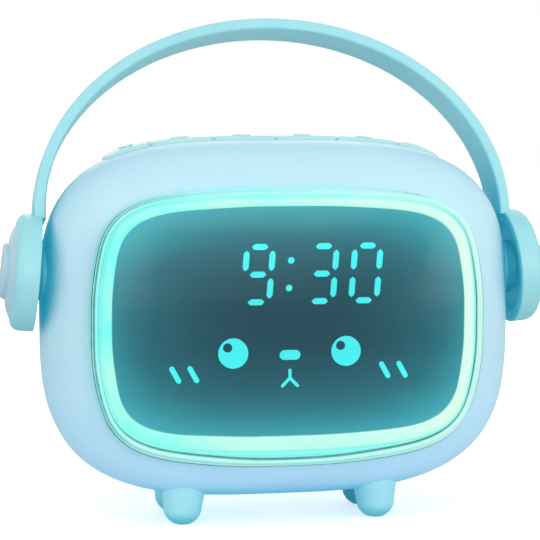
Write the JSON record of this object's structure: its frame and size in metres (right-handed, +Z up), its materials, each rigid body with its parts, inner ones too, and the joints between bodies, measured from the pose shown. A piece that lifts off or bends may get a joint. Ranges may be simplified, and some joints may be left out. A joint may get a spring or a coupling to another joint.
{
  "type": "kids alarm clock with night light",
  "caption": "Free-standing kids alarm clock: rounded housing with a glowing display ring, friendly lit face, press keys along the top, stub feet and a swinging carry handle.",
  "frame": {"origin": "on the table under the middle of the clock, left to right and front to back", "axes": "+X to the right seen from the front, +Y to the back, +Z up; the display faces -Y"},
  "size_m": [0.1696, 0.0536, 0.1544],
  "materials": {
    "pale_blue_plastic": "fine satin",
    "handle_blue_plastic": "satin",
    "cap_blue_plastic": "satin",
    "key_blue_plastic": "satin",
    "foot_blue_plastic": "satin",
    "clear_acrylic": "clear, polished",
    "frosted_acrylic": "frosted, lit from behind",
    "mirror_acrylic": "dark half mirror, polished",
    "lit_diffuser": "lit from behind",
    "dark_diffuser": "unlit",
    "lamp_chips": "white lamp chip",
    "black_plastic": "satin",
    "cream_plastic": "satin",
    "blue_grey_rubber": "matt",
    "circuit_board_green": "solder resist",
    "circuit_board_white": "white solder resist",
    "bright_steel": "zinc plated",
    "battery_wrap": "shrink wrap"
  },
  "bodies": {
    "housing": {"front_shell": "pale_blue_plastic", "rear_cover": "pale_blue_plastic", "cover_screws": "bright_steel", "bezel_ring": "clear_acrylic", "glow_ring": "frosted_acrylic", "lens_panel": "mirror_acrylic", "light_box": "black_plastic", "light_bars_lit": "lit_diffuser", "light_bars_off": "dark_diffuser", "face_icons": "lit_diffuser", "display_board": "circuit_board_green", "night_light_board": "circuit_board_white", "night_light_lamps": "lamp_chips", "board_screws": "bright_steel", "standoffs": "cream_plastic", "main_board": "circuit_board_green", "board_parts": "black_plastic", "key_board": "circuit_board_green", "key_switches": "black_plastic", "battery_pack": "battery_wrap", "speaker": "black_plastic", "speaker_grille": "cap_blue_plastic", "power_board": "circuit_board_green", "charge_socket": "bright_steel", "foot_front_left": "foot_blue_plastic", "foot_front_right": "foot_blue_plastic", "foot_rear_left": "foot_blue_plastic", "foot_rear_right": "foot_blue_plastic", "friction_rings": "blue_grey_rubber"},
    "handle": {"handle_band": "handle_blue_plastic", "ear_cap_left": "cap_blue_plastic", "ear_cap_right": "cap_blue_plastic", "pivot_washers": "bright_steel", "pivot_screws": "bright_steel"},
    "key_1": {"key_1": "key_blue_plastic"},
    "key_2": {"key_2": "key_blue_plastic"},
    "key_3": {"key_3": "key_blue_plastic"},
    "key_4": {"key_4": "key_blue_plastic"},
    "key_5": {"key_5": "key_blue_plastic"},
    "key_6": {"key_6": "key_blue_plastic"}
  },
  "joints": [
    {"name": "handle_pivot", "type": "hinge", "parent": "housing", "child": "handle", "pos_m": [0, -0.003, 0.0768], "axis": [1, 0, 0], "range_deg": [-77.3, 102.7]},
    {"name": "key_1_press", "type": "slide", "parent": "housing", "child": "key_1", "axis": [0, 0, -1], "range_m": [0, 0.0008], "stiffness_N_per_m": 500, "springref_m": -0.0005},
    {"name": "key_2_press", "type": "slide", "parent": "housing", "child": "key_2", "axis": [0, 0, -1], "range_m": [0, 0.0008], "stiffness_N_per_m": 500, "springref_m": -0.0005},
    {"name": "key_3_press", "type": "slide", "parent": "housing", "child": "key_3", "axis": [0, 0, -1], "range_m": [0, 0.0008], "stiffness_N_per_m": 500, "springref_m": -0.0005},
    {"name": "key_4_press", "type": "slide", "parent": "housing", "child": "key_4", "axis": [0, 0, -1], "range_m": [0, 0.0008], "stiffness_N_per_m": 500, "springref_m": -0.0005},
    {"name": "key_5_press", "type": "slide", "parent": "housing", "child": "key_5", "axis": [0, 0, -1], "range_m": [0, 0.0008], "stiffness_N_per_m": 500, "springref_m": -0.0005},
    {"name": "key_6_press", "type": "slide", "parent": "housing", "child": "key_6", "axis": [0, 0, -1], "range_m": [0, 0.0008], "stiffness_N_per_m": 500, "springref_m": -0.0005}
  ]
}
